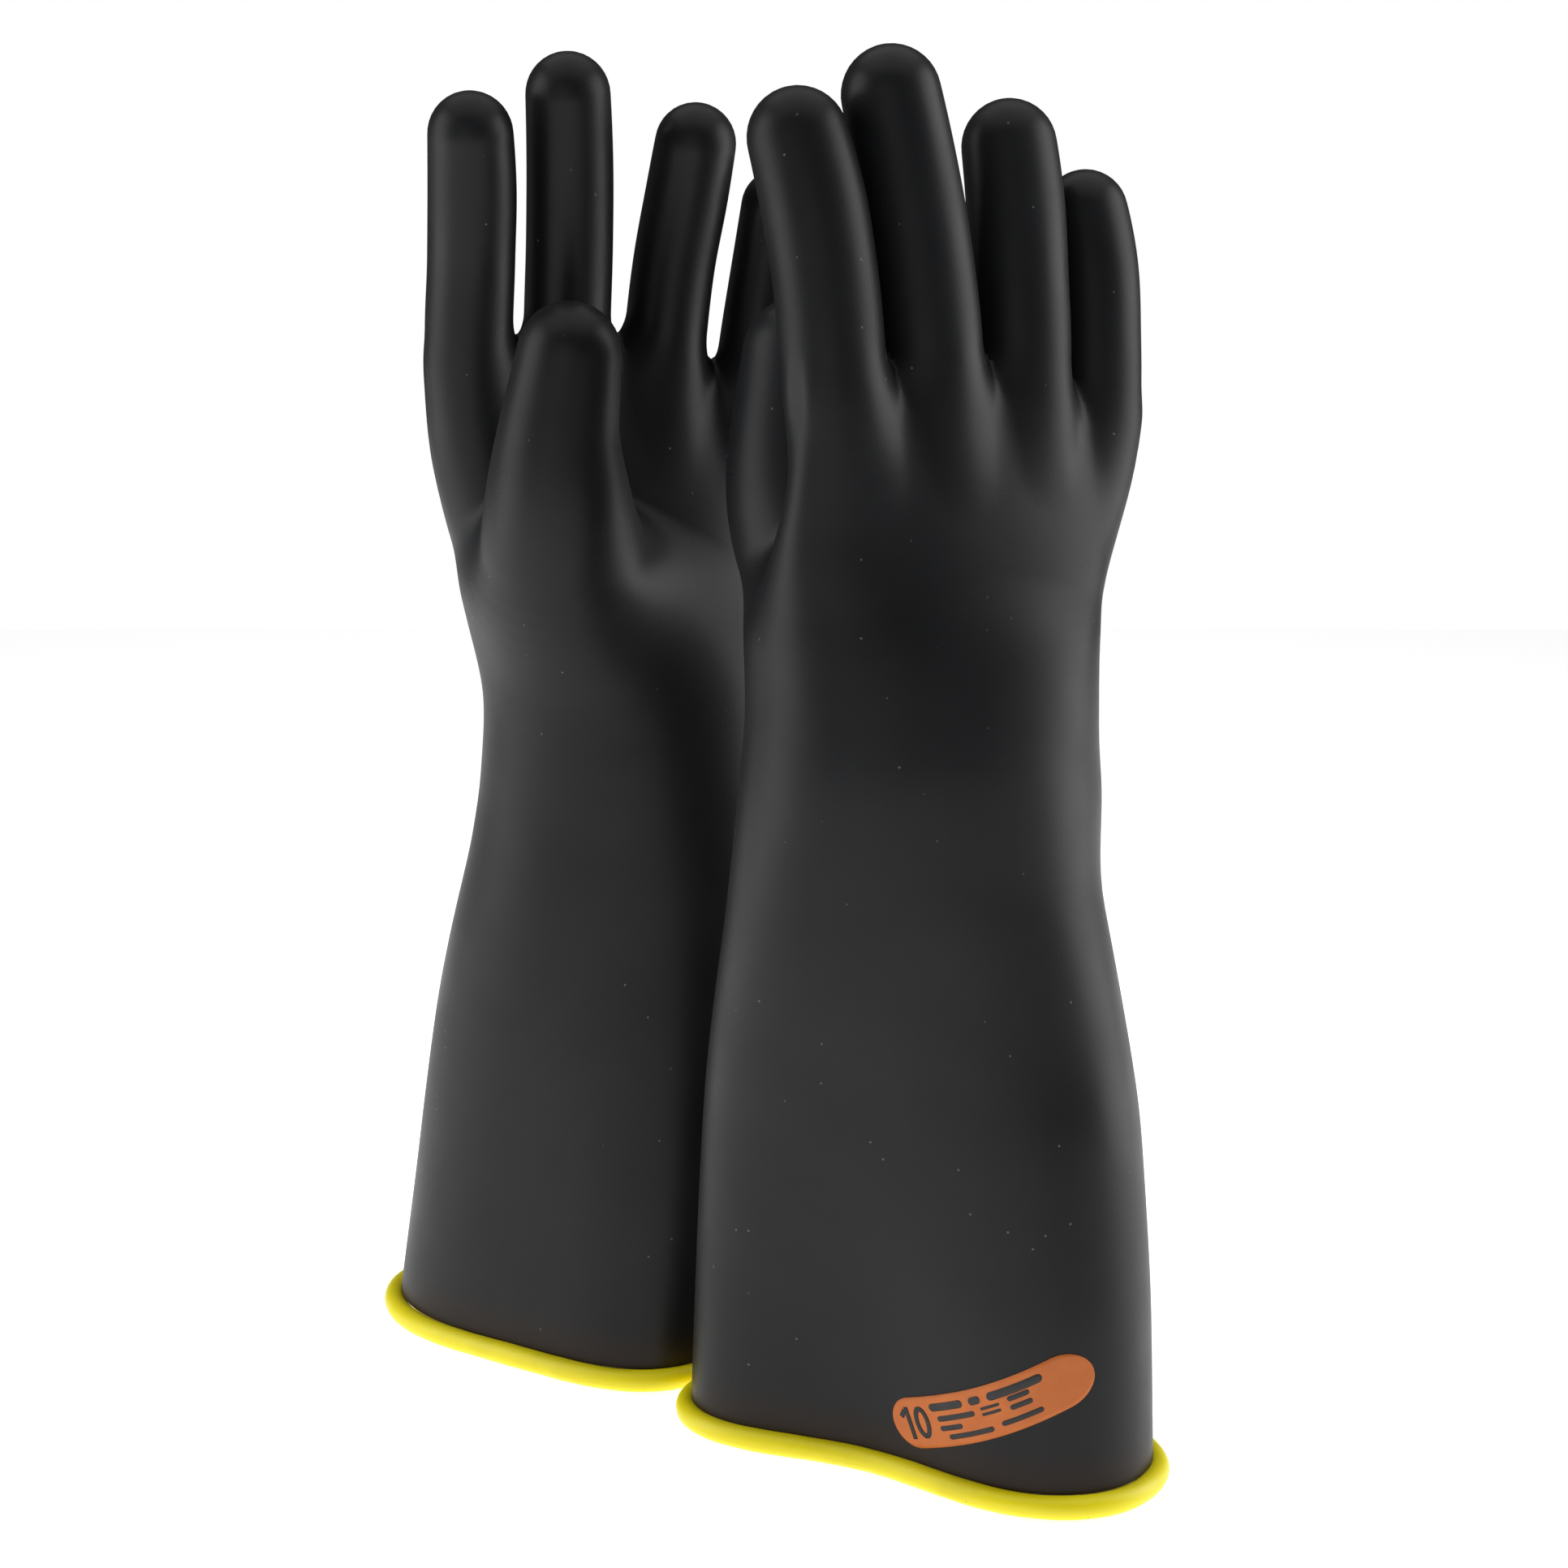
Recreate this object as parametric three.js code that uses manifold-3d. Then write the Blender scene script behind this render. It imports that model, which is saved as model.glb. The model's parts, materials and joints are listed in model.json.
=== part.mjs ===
// A pair of electrical insulating gloves: 18 inch dipped-rubber gauntlets, hand size 10.
//
// Each glove is a laminate of two rubber plies, black outside and yellow inside, that ends in a
// rolled cuff bead. Both gloves stand on their beads, the right one in front with its back to -Y
// and the left one behind it with its palm to -Y. Each ply is divided where the rubber flexes, at
// the wrist and once along every digit. A label is bonded to the back of each gauntlet.
//
// Millimetres, +Z up. The origin is the bottom centre of the pair's bounding box.

import * as THREE from 'three';
import { mergeVertices } from 'three/addons/utils/BufferGeometryUtils.js';
import Module from 'manifold-3d';

const wasm = await Module();
wasm.setup();

// The wall, from the outside in.
const OUTER_PLY = 1.7;
const INNER_PLY = 1.2;
const CLEARANCE = 0.3; // between two pieces that touch

// The rolled bead, an octagonal ring that lies flat on the ground.
const BEAD_RADIUS = 3.8;
const BEAD_OUTSET = 1.2; // from the skin out to the bead's centre line
const BEAD_TOP = 2 * BEAD_RADIUS;
const BEAD_STEPS = 40;

// The label, a bowed stadium that climbs across the back of the gauntlet. The lift keeps its flat
// columns clear of the skin's facets.
const LABEL = { length: 71, height: 17, thickness: 0.6, lift: 1.2, slope: 25, bow: 3.4, columns: 12 };

// Facets.
const TRUNK_SIDES = 20;
const HAND_CROWDING = 1.3; // how much closer the facets lie at the hand's two edges
const DIGIT_SIDES = 8;
const TIP_ANGLES = [35, 66]; // rings of a round tip, in degrees from its equator
const SECTION_POWER = 2.2; // superellipse exponent of the gauntlet's sections
const CLOSING_FROM = 300; // from here up, the inner surfaces close below the web

// The flex lines. A finger turns about a line this far inside its palm-side surface.
const FLEX_INSET = 6.5;
const FINGER_FLEX = { back: 8, curl: 65 };
const THUMB_FLEX = { back: 8, curl: 35 };
const WRIST_FLEX = 20;
const WRIST_HEIGHT = 236;
const WRIST_CUT = { halfLength: 80, reach: 70 }; // clears the whole wrist
const DIGIT_CUT_MARGIN = 0.7; // how far a digit's cut runs past its skin at each end
const HINGE_STEPS = 200; // how finely a flex line is looked for along a digit

// The digits, in the hand's own frame: x towards the little finger, y towards the palm, z up, then
// the radius. The last row is the centre of the round tip.
const DIGITS = {
  thumb: {
    flexHeight: 329,
    flex: THUMB_FLEX,
    curlsTowards: [0.95, -0.3],
    rows: [
      [-6, 8, 226, 26], [-13, 13, 256, 30], [-26, 33, 284, 28], [-30.5, 45, 308, 24.3],
      [-31, 49.5, 328, 20.7], [-29.3, 51.3, 343, 18.9], [-28, 52.5, 354, 17.7],
    ],
  },
  index_finger: {
    flexHeight: 374,
    flex: FINGER_FLEX,
    curlsTowards: [0, 1],
    rows: [[-38, 6, 300, 12], [-47, 5, 350, 15.2], [-47.3, 10, 382, 15.2], [-48.3, 16, 406, 15.2],
      [-50, 21, 422.5, 14.6]],
  },
  middle_finger: {
    flexHeight: 378,
    flex: FINGER_FLEX,
    curlsTowards: [0, 1],
    rows: [[-13, 5, 300, 13], [-12.5, 3, 352, 15.2], [-13, 9, 388, 15.2], [-14.5, 15, 414, 15],
      [-16.5, 20, 435, 14.6]],
  },
  ring_finger: {
    flexHeight: 374,
    flex: FINGER_FLEX,
    curlsTowards: [0, 1],
    rows: [[17, 5, 296, 12.5], [22, 3, 348, 14.6], [24.3, 8, 380, 14.6], [26.8, 14, 403, 14.6],
      [28, 19, 419, 14.2]],
  },
  little_finger: {
    flexHeight: 364,
    flex: FINGER_FLEX,
    curlsTowards: [0, 1],
    rows: [[33, 4, 284, 11], [52, 4, 333, 13.4], [55.5, 8, 361, 13.4], [57.5, 13, 383, 13.4],
      [57.8, 18, 398, 13]],
  },
};

// The two gloves. A section row is z, centre x, centre y, half width, half depth and the turn of
// the width about +Z in degrees. The dent flattens the -Y side of the gauntlet, most at the cuff.
// The label's place is how far across from the gauntlet's centre its middle lies, and how high.
const GLOVES = {
  right: {
    palm: 1,
    hand: { x: 57.5, y: 6.6, turn: 33 },
    girth: 1.06,
    dent: { depth: 22, width: 57, at: -8.3 },
    label: { across: 37, z: 30.4 },
    sections: [
      [0, 43.3, -0.2, 81, 46.5, -28.6], [60, 43.8, 0, 77.5, 46, -26], [120, 43.6, 0, 71, 46, -18],
      [180, 41.9, 0, 60.5, 46, -4], [236, 39.2, 0, 52, 44.5, 10], [264, 43, 1.5, 53.5, 39, 18],
      [292, 48.8, 4, 58.5, 30, 27], [320, 55, 6.2, 61.5, 20, 33], [342, 58, 8.3, 59.5, 14, 33],
      [353, 58, 9, 47, 5, 33],
    ],
  },
  left: {
    palm: -1,
    hand: { x: -62.4, y: 103.6, turn: 22 },
    girth: 0.95,
    dent: { depth: 11.6, width: 55.5, at: 28.6 },
    label: { across: 18, z: 33 },
    sections: [
      [0, -78.9, 106.9, 71.5, 48.7, -45], [60, -70.5, 106.6, 69, 48.5, -42],
      [120, -62.8, 106, 63.5, 47.5, -32], [180, -52.5, 105, 56.5, 46, -12],
      [236, -49, 104.5, 50.5, 44, 8], [264, -54, 104.1, 52.3, 39, 15],
      [292, -59, 103.8, 57, 30, 19], [320, -61, 103.2, 60.5, 20, 22],
      [342, -61.3, 102.2, 58.5, 14, 22], [353, -61.3, 101.5, 46, 5, 22],
    ],
  },
};

const COLOURS = {
  black: new THREE.MeshStandardMaterial({ color: 0x2b2b2d, roughness: 0.5, metalness: 0 }),
  yellow: new THREE.MeshStandardMaterial({ color: 0xf6e400, roughness: 0.5, metalness: 0 }),
  orange: new THREE.MeshStandardMaterial({ color: 0xd6702f, roughness: 0.6, metalness: 0 }),
};

const radians = THREE.MathUtils.degToRad;

// ---- closed meshes and solids ----

// Joins rings of points into a closed mesh, with a fan over each end.
function loft(rings) {
  const sides = rings[0].length;
  const points = rings.flat();
  const indices = [];
  for (let r = 0; r + 1 < rings.length; r++) {
    for (let i = 0; i < sides; i++) {
      const a = r * sides + i;
      const b = r * sides + (i + 1) % sides;
      indices.push(a, b, b + sides, a, b + sides, a + sides);
    }
  }
  const last = (rings.length - 1) * sides;
  const bottom = points.push(centroid(rings[0])) - 1;
  const top = points.push(centroid(rings.at(-1))) - 1;
  for (let i = 0; i < sides; i++) {
    const next = (i + 1) % sides;
    indices.push(bottom, next, i, top, last + i, last + next);
  }
  return facingOut(points, indices);
}

function centroid(points) {
  const sum = points.reduce((total, point) => total.add(point), new THREE.Vector3());
  return sum.divideScalar(points.length);
}

// Six times the volume inside a closed mesh, negative when its faces point in.
function signedVolume(points, indices) {
  let total = 0;
  for (let i = 0; i < indices.length; i += 3) {
    const [a, b, c] = [points[indices[i]], points[indices[i + 1]], points[indices[i + 2]]];
    total += a.dot(new THREE.Vector3().crossVectors(b, c));
  }
  return total;
}

function facingOut(points, indices) {
  if (signedVolume(points, indices) < 0) indices.reverse();
  const geometry = new THREE.BufferGeometry().setFromPoints(points);
  geometry.setIndex(indices);
  return geometry;
}

function solidOf(geometry) {
  const bare = geometry.clone();
  bare.deleteAttribute('normal');
  bare.deleteAttribute('uv');
  const merged = mergeVertices(bare, 1e-4);
  return new wasm.Manifold(new wasm.Mesh({
    numProp: 3,
    vertProperties: Float32Array.from(merged.attributes.position.array),
    triVerts: Uint32Array.from(merged.index.array),
  }));
}

function geometryOf(solid) {
  const { vertProperties, triVerts } = solid.getMesh();
  const geometry = new THREE.BufferGeometry();
  geometry.setAttribute('position', new THREE.BufferAttribute(vertProperties, 3));
  geometry.setIndex(new THREE.BufferAttribute(triVerts, 1));
  return geometry;
}

function namedMesh(name, geometry, material) {
  const mesh = new THREE.Mesh(geometry, material);
  mesh.name = name;
  return mesh;
}

// ---- the gauntlet and palm ----

// A section of the trunk at height z, with every value read off between the two nearest rows.
function sectionAt(glove, z) {
  const rows = glove.sections;
  let upper = rows.findIndex((row) => row[0] >= z);
  if (upper < 1) upper = upper < 0 ? rows.length - 1 : 1;
  const [low, high] = [rows[upper - 1], rows[upper]];
  const t = (z - low[0]) / (high[0] - low[0]);
  const [x, y, width, depth, turn] = low.slice(1).map((value, i) => value + t * (high[i + 1] - value));
  return { x, y, width, depth, turn, z };
}

// The point that lies u along a section's width and v along its depth, with the dent pressed in.
function placed(glove, section, u, v) {
  const { depth: dent, width: dentWidth, at } = glove.dent;
  const turn = radians(section.turn);
  const fade = THREE.MathUtils.smoothstep(WRIST_HEIGHT - section.z, 0, WRIST_HEIGHT);
  const pressed = dent * fade * Math.exp(-(((u - at) / dentWidth) ** 2));
  const depth = v < 0 ? v * (1 - pressed / section.depth) : v;
  return new THREE.Vector3(
    section.x + u * Math.cos(turn) - depth * Math.sin(turn),
    section.y + u * Math.sin(turn) + depth * Math.cos(turn),
    section.z,
  );
}

// The point of a section in the polar direction given, which is an angle about +Z.
function sectionPoint(glove, section, direction, inset) {
  const angle = direction - radians(section.turn);
  const [cos, sin] = [Math.cos(angle), Math.sin(angle)];
  const [width, depth] = [section.width - inset, section.depth - inset];
  const radius = (Math.abs(cos / width) ** SECTION_POWER + Math.abs(sin / depth) ** SECTION_POWER)
    ** (-1 / SECTION_POWER);
  return placed(glove, section, radius * cos, radius * sin);
}

// The point on the back of a section that lies u along its width, lifted off the skin.
function backPoint(glove, section, u, lift) {
  const [width, depth] = [section.width + lift, section.depth + lift];
  const v = depth * (1 - Math.abs(u / width) ** SECTION_POWER) ** (1 / SECTION_POWER);
  return placed(glove, section, u, -glove.palm * v);
}

// Directions that crowd towards the hand's two narrow edges.
function ringDirections(glove) {
  return Array.from({ length: TRUNK_SIDES }, (_, i) => {
    const t = (2 * Math.PI * i) / TRUNK_SIDES;
    return Math.atan2(Math.sin(t), HAND_CROWDING * Math.cos(t)) + radians(glove.hand.turn);
  });
}

function trunkSolid(glove, inset, floor) {
  const top = glove.sections.at(-1)[0];
  const heights = [floor, ...glove.sections.slice(1).map((row) => row[0])];
  const rings = heights.map((z) => {
    const section = sectionAt(glove, z);
    const ring = ringDirections(glove).map((angle) => sectionPoint(glove, section, angle, inset));
    const highest = z - inset * ((z - CLOSING_FROM) / (top - CLOSING_FROM));
    ring.forEach((point) => point.setZ(Math.min(point.z, highest)));
    return ring;
  });
  return solidOf(loft(rings));
}

// ---- the digits ----

// Turns hand coordinates into the pair's frame.
function handPoint(glove, x, y, z) {
  const turn = radians(glove.hand.turn);
  const across = new THREE.Vector3(Math.cos(turn), Math.sin(turn), 0);
  const palmward = new THREE.Vector3(-Math.sin(turn), Math.cos(turn), 0).multiplyScalar(glove.palm);
  return new THREE.Vector3(glove.hand.x, glove.hand.y, z)
    .addScaledVector(across, x)
    .addScaledVector(palmward, y);
}

function handDirection(glove, x, y) {
  return handPoint(glove, x, y, 0).sub(handPoint(glove, 0, 0, 0)).normalize();
}

function digitCurve(glove, digit) {
  return new THREE.CatmullRomCurve3(digit.rows.map(([x, y, z]) => handPoint(glove, x, y, z)));
}

// One ring of a digit: a circle about a point of its centre line.
function digitRing(glove, centre, tangent, radius) {
  const side = new THREE.Vector3().crossVectors(tangent, handDirection(glove, 0, 1)).normalize();
  const front = new THREE.Vector3().crossVectors(side, tangent);
  return Array.from({ length: DIGIT_SIDES }, (_, i) => {
    const angle = (2 * Math.PI * (i + 0.5)) / DIGIT_SIDES;
    return centre.clone()
      .addScaledVector(side, radius * Math.cos(angle))
      .addScaledVector(front, radius * Math.sin(angle));
  });
}

function digitSolid(glove, digit, inset) {
  const curve = digitCurve(glove, digit);
  const spans = digit.rows.length - 1;
  const rings = digit.rows.map((row, i) => {
    const radius = row[3] * glove.girth - inset;
    return digitRing(glove, curve.getPoint(i / spans), curve.getTangent(i / spans), radius);
  });
  const [tip, along] = [curve.getPoint(1), curve.getTangent(1)];
  const tipRadius = digit.rows.at(-1)[3] * glove.girth - inset;
  for (const angle of TIP_ANGLES.map(radians)) {
    const centre = tip.clone().addScaledVector(along, tipRadius * Math.sin(angle));
    rings.push(digitRing(glove, centre, along, tipRadius * Math.cos(angle)));
  }
  return solidOf(loft(rings));
}

// The whole space inside a surface that lies a distance below the glove's skin.
function gloveSolid(glove, inset, floor) {
  const digits = Object.values(DIGITS).map((digit) => digitSolid(glove, digit, inset));
  return digits.reduce((whole, digit) => whole.add(digit), trunkSolid(glove, inset, floor));
}

// ---- flex lines ----

// Where a digit's flex line lies: a point on it, its axis, and the digit's direction there.
function digitHinge(glove, digit) {
  const curve = digitCurve(glove, digit);
  const steps = Array.from({ length: HINGE_STEPS + 1 }, (_, i) => i / HINGE_STEPS);
  const t = steps.find((step) => curve.getPoint(step).z >= digit.flexHeight);
  const along = curve.getTangent(t);
  const axis = new THREE.Vector3().crossVectors(along, handDirection(glove, ...digit.curlsTowards));
  axis.normalize();
  const towards = new THREE.Vector3().crossVectors(axis, along);
  const row = t * (digit.rows.length - 1);
  const [low, high] = [digit.rows[Math.floor(row)], digit.rows[Math.ceil(row)]];
  const radius = glove.girth * (low[3] + (row % 1) * (high[3] - low[3]));
  const point = curve.getPoint(t).addScaledVector(towards, radius - FLEX_INSET);
  return { point, axis, along, towards, radius, flex: digit.flex };
}

function wristHinge(glove) {
  const { x, y } = sectionAt(glove, WRIST_HEIGHT);
  const towards = handDirection(glove, 0, 1);
  const along = new THREE.Vector3(0, 0, 1);
  const axis = new THREE.Vector3().crossVectors(along, towards);
  const flex = { back: WRIST_FLEX, curl: WRIST_FLEX };
  return { point: new THREE.Vector3(x, y, WRIST_HEIGHT), axis, along, towards, flex };
}

// A prism along the flex line that opens in two wedges, so that the cut closes at full flex.
function flexCut({ point, axis, along, towards, flex }, halfLength, reach) {
  const opening = (angle, distance) => CLEARANCE + distance * Math.tan(radians(angle / 2));
  const front = opening(flex.curl, reach);
  const back = opening(flex.back, reach);
  const outline = [
    [reach, -front], [reach, front], [0, CLEARANCE], [-reach, back], [-reach, -back], [0, -CLEARANCE],
  ];
  const shape = new THREE.Shape(outline.map(([x, y]) => new THREE.Vector2(x, y)));
  const prism = new THREE.ExtrudeGeometry(shape, { depth: 2 * halfLength, bevelEnabled: false });
  prism.translate(0, 0, -halfLength);
  const across = new THREE.Vector3().crossVectors(towards, along);
  prism.applyMatrix4(new THREE.Matrix4().makeBasis(towards, along, across).setPosition(point));
  return solidOf(prism);
}

function flexCuts(glove) {
  const digits = Object.values(DIGITS).map((digit) => {
    const hinge = digitHinge(glove, digit);
    return flexCut(hinge, hinge.radius + DIGIT_CUT_MARGIN, 2 * hinge.radius);
  });
  return [flexCut(wristHinge(glove), WRIST_CUT.halfLength, WRIST_CUT.reach), ...digits];
}

// Divides a ply at the flex lines and names its pieces by where they lie.
function plyPieces(glove, ply) {
  const divided = flexCuts(glove).reduce((rest, cut) => rest.subtract(cut), ply);
  const pieces = divided.decompose().sort((a, b) => b.volume() - a.volume());
  const [gauntlet, hand] = pieces.splice(0, 2);
  const named = { gauntlet, hand };
  for (const [name, digit] of Object.entries(DIGITS)) {
    const tip = digitCurve(glove, digit).getPoint(1);
    named[name] = pieces.find((piece) => new THREE.Box3(
      new THREE.Vector3(...piece.boundingBox().min),
      new THREE.Vector3(...piece.boundingBox().max),
    ).containsPoint(tip));
  }
  return named;
}

// ---- bead and label ----

// An octagon swept round the foot of the skin, one flat down.
function beadGeometry(glove) {
  const section = { ...sectionAt(glove, 0), z: 0 };
  const sides = 8;
  const corner = BEAD_RADIUS / Math.cos(Math.PI / sides);
  const path = Array.from({ length: BEAD_STEPS }, (_, i) => (
    sectionPoint(glove, section, (2 * Math.PI * i) / BEAD_STEPS, -BEAD_OUTSET)));
  const points = path.flatMap((point, i) => {
    const ahead = path[(i + 1) % BEAD_STEPS].clone().sub(path.at(i - 1)).normalize();
    const outward = new THREE.Vector3(ahead.y, -ahead.x, 0);
    return Array.from({ length: sides }, (_, k) => {
      const angle = (2 * Math.PI * (k + 0.5)) / sides;
      return point.clone()
        .addScaledVector(outward, corner * Math.cos(angle))
        .setZ(BEAD_RADIUS + corner * Math.sin(angle));
    });
  });
  const indices = [];
  for (let i = 0; i < BEAD_STEPS; i++) {
    for (let k = 0; k < sides; k++) {
      const [here, next] = [i * sides, ((i + 1) % BEAD_STEPS) * sides];
      const l = (k + 1) % sides;
      indices.push(here + k, next + k, next + l, here + k, next + l, here + l);
    }
  }
  return facingOut(points, indices);
}

// A thin patch that follows the skin: columns along its length, each with an upper and lower edge.
function labelGeometry(glove) {
  const { length, height, thickness, lift: near, slope, bow, columns } = LABEL;
  const half = length / 2;
  const straight = half - height / 2;
  const [cos, sin] = [Math.cos(radians(slope)), Math.sin(radians(slope))];
  const onSkin = (along, up, lift) => {
    const u = glove.label.across + glove.palm * (along * cos - up * sin);
    const z = glove.label.z + along * sin + up * cos + bow * (along / half) ** 2;
    return backPoint(glove, sectionAt(glove, z), u, lift);
  };
  const rings = Array.from({ length: columns + 1 }, (_, i) => {
    const along = -half * Math.cos((Math.PI * (i + 0.3)) / (columns + 0.6));
    const past = Math.max(0, Math.abs(along) - straight);
    const tall = Math.sqrt((height / 2) ** 2 - past ** 2);
    const far = near + thickness;
    return [[-tall, near], [-tall, far], [tall, far], [tall, near]].map(([up, lift]) => (
      onSkin(along, up, lift)));
  });
  return loft(rings);
}

// ---- the pair ----

function gloveMeshes(side, glove) {
  const floor = BEAD_TOP + CLEARANCE;
  const skin = (inset, below = 0) => gloveSolid(glove, inset, floor - below);
  const between = OUTER_PLY + CLEARANCE;
  const plies = [
    ['outer', COLOURS.black, skin(0).subtract(skin(OUTER_PLY, 1))],
    ['inner', COLOURS.yellow, skin(between).subtract(skin(between + INNER_PLY, 1))],
  ];
  const meshes = plies.flatMap(([ply, colour, solid]) => (
    Object.entries(plyPieces(glove, solid)).map(([piece, part]) => (
      namedMesh(`${side}_${ply}_${piece}`, geometryOf(part), colour)))));
  meshes.push(namedMesh(`${side}_cuff_bead`, beadGeometry(glove), COLOURS.yellow));
  meshes.push(namedMesh(`${side}_label`, labelGeometry(glove), COLOURS.orange));
  return meshes;
}

const pair = new THREE.Group();
pair.name = 'electrical_insulating_gloves';
for (const [side, glove] of Object.entries(GLOVES)) {
  pair.add(...gloveMeshes(side, glove));
  pair.userData[side] = { wrist: wristHinge(glove) };
  for (const [name, digit] of Object.entries(DIGITS)) {
    pair.userData[side][name] = digitHinge(glove, digit);
  }
}
const centre = new THREE.Box3().setFromObject(pair).getCenter(new THREE.Vector3());
pair.position.set(-centre.x, -centre.y, 0);

export default pair;
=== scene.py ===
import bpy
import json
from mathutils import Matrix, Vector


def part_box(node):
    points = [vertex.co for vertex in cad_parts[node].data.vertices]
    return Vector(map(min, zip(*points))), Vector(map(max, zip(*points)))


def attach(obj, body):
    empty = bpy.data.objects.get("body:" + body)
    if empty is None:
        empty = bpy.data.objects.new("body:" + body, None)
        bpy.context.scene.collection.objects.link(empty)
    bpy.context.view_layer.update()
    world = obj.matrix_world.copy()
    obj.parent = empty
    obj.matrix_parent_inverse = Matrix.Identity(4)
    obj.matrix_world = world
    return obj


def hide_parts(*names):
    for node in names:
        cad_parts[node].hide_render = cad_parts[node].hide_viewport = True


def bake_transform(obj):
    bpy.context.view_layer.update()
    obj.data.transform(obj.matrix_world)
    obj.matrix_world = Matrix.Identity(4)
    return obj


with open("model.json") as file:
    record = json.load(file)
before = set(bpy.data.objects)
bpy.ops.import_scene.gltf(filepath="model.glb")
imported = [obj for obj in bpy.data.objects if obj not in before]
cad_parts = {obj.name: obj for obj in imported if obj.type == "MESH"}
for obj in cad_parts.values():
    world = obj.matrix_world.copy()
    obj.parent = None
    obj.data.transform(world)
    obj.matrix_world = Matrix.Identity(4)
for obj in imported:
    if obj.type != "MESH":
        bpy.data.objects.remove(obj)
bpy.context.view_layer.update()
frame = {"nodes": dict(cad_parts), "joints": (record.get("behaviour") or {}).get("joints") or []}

import json
import math
from itertools import combinations

import bmesh
import bpy
import numpy as np
from mathutils import Vector

# Shapes are worked out in millimetres, in the CAD's own coordinates, and become metres of the
# frame when a mesh is made. The thumb's heel is fuller here than in the CAD, and the webs between
# the fingers are thinner.
MM = 0.001

# ---- the gloves' dimensions ----

OUTER_PLY = 1.7
INNER_PLY = 1.2
PLY_GAP = 0.12  # between the black and the yellow ply
BEAD_RADIUS = 3.8
BEAD_OUTSET = 1.2  # from the skin out to the bead's centre line
SECTION_POWER = 2.2
WRIST_HEIGHT = 236.0
FOOT = 7.45  # where the skin's outer face meets the bead

# The digits in the hand's frame: x towards the little finger, y towards the palm, z up, radius.
# The last row is the centre of the round tip. The seam is where the digit's own piece begins.
DIGITS = {
    "thumb": {
        "flex_height": 329, "below": 12, "above": 15,
        "rows": [
            [4, 4, 226, 34], [-4, 9, 256, 35], [-23.5, 32, 284, 29.5], [-30, 45, 308, 24.6],
            [-31, 49.5, 328, 20.7], [-29.3, 51.3, 343, 18.9], [-28, 52.5, 354, 17.7],
        ],
    },
    "index_finger": {
        "flex_height": 374, "below": 13, "above": 18,
        "rows": [
            [-38, 6, 300, 12], [-47, 5, 350, 15.2], [-47.3, 10, 382, 15.2], [-48.3, 16, 406, 15.2],
            [-50, 21, 422.5, 14.6],
        ],
    },
    "middle_finger": {
        "flex_height": 378, "below": 15, "above": 18,
        "rows": [
            [-13, 5, 300, 13], [-12.5, 3, 352, 15.2], [-13, 9, 388, 15.2], [-14.5, 15, 414, 15],
            [-16.5, 20, 435, 14.6],
        ],
    },
    "ring_finger": {
        "flex_height": 374, "below": 13, "above": 18,
        "rows": [
            [17, 5, 296, 12.5], [22, 3, 348, 14.6], [24.3, 8, 380, 14.6], [26.8, 14, 403, 14.6],
            [28, 19, 419, 14.2],
        ],
    },
    "little_finger": {
        "flex_height": 364, "below": 12, "above": 16,
        "rows": [
            [33, 4, 284, 11], [52, 4, 333, 13.4], [55.5, 8, 361, 13.4], [57.5, 13, 383, 13.4],
            [57.8, 18, 398, 13],
        ],
    },
}

# A section row is z, centre x, centre y, half width, half depth and the turn of the width.
GLOVES = {
    "right": {
        "palm": 1, "hand": (57.5, 6.6, 33), "girth": 1.06, "web_top": 352,
        "dent": {"depth": 22, "width": 57, "at": -8.3}, "label": (37, 30.4),
        "sections": [
            [0, 43.3, -0.2, 81, 46.5, -28.6], [60, 43.8, 0, 77.5, 46, -26],
            [120, 43.6, 0, 71, 46, -18], [180, 41.9, 0, 60.5, 46, -4], [236, 39.2, 0, 52, 44.5, 10],
            [264, 43, 1.5, 53.5, 39, 18], [292, 48.8, 4, 58.5, 29, 27], [320, 55, 6.2, 61.5, 17.5, 33],
            [342, 58, 8.3, 59.5, 10.5, 33], [353, 58, 9, 56, 7, 33],
        ],
    },
    "left": {
        "palm": -1, "hand": (-62.4, 103.6, 22), "girth": 0.95, "web_top": 354,
        "dent": {"depth": 11.6, "width": 55.5, "at": 28.6}, "label": (18, 33),
        "sections": [
            [0, -78.9, 106.9, 71.5, 48.7, -45], [60, -70.5, 106.6, 69, 48.5, -42],
            [120, -62.8, 106, 63.5, 47.5, -32], [180, -52.5, 105, 56.5, 46, -12],
            [236, -49, 104.5, 50.5, 44, 8], [264, -54, 104.1, 52.3, 39, 15],
            [292, -59, 103.8, 57, 29, 19], [320, -61, 103.2, 60.5, 17.5, 22],
            [342, -61.3, 102.2, 58.5, 10.5, 22], [353, -61.3, 101.5, 54, 7, 22],
        ],
    },
}

# Softness of the joins, as the width of the fillet.
WEB_FILLET = 10.0
THUMB_FILLET = (26.0, 4.0)  # low on the thumb, and where it stands free of the palm
THUMB_FREE = (268.0, 312.0)  # between these heights the thumb's fillet shrinks
DIGIT_FILLET = (7.0, 0.8)  # below the webs, and above them
WEB_HEIGHTS = (338, 358)  # the digits' fillet shrinks between these heights
WEB_ROUND = 14.0  # roundness of the web's edge
LITTLE_WEB_DROP = 13.0  # how much lower the web beside the little finger is
LITTLE_WEB_ACROSS = (24, 44)  # it drops between these distances across the hand
LITTLE_WEB_HEIGHTS = (300, 345)  # and between these heights
SECTION_SOFTNESS = 8.0  # how far a section row's influence is smoothed up and down

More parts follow.
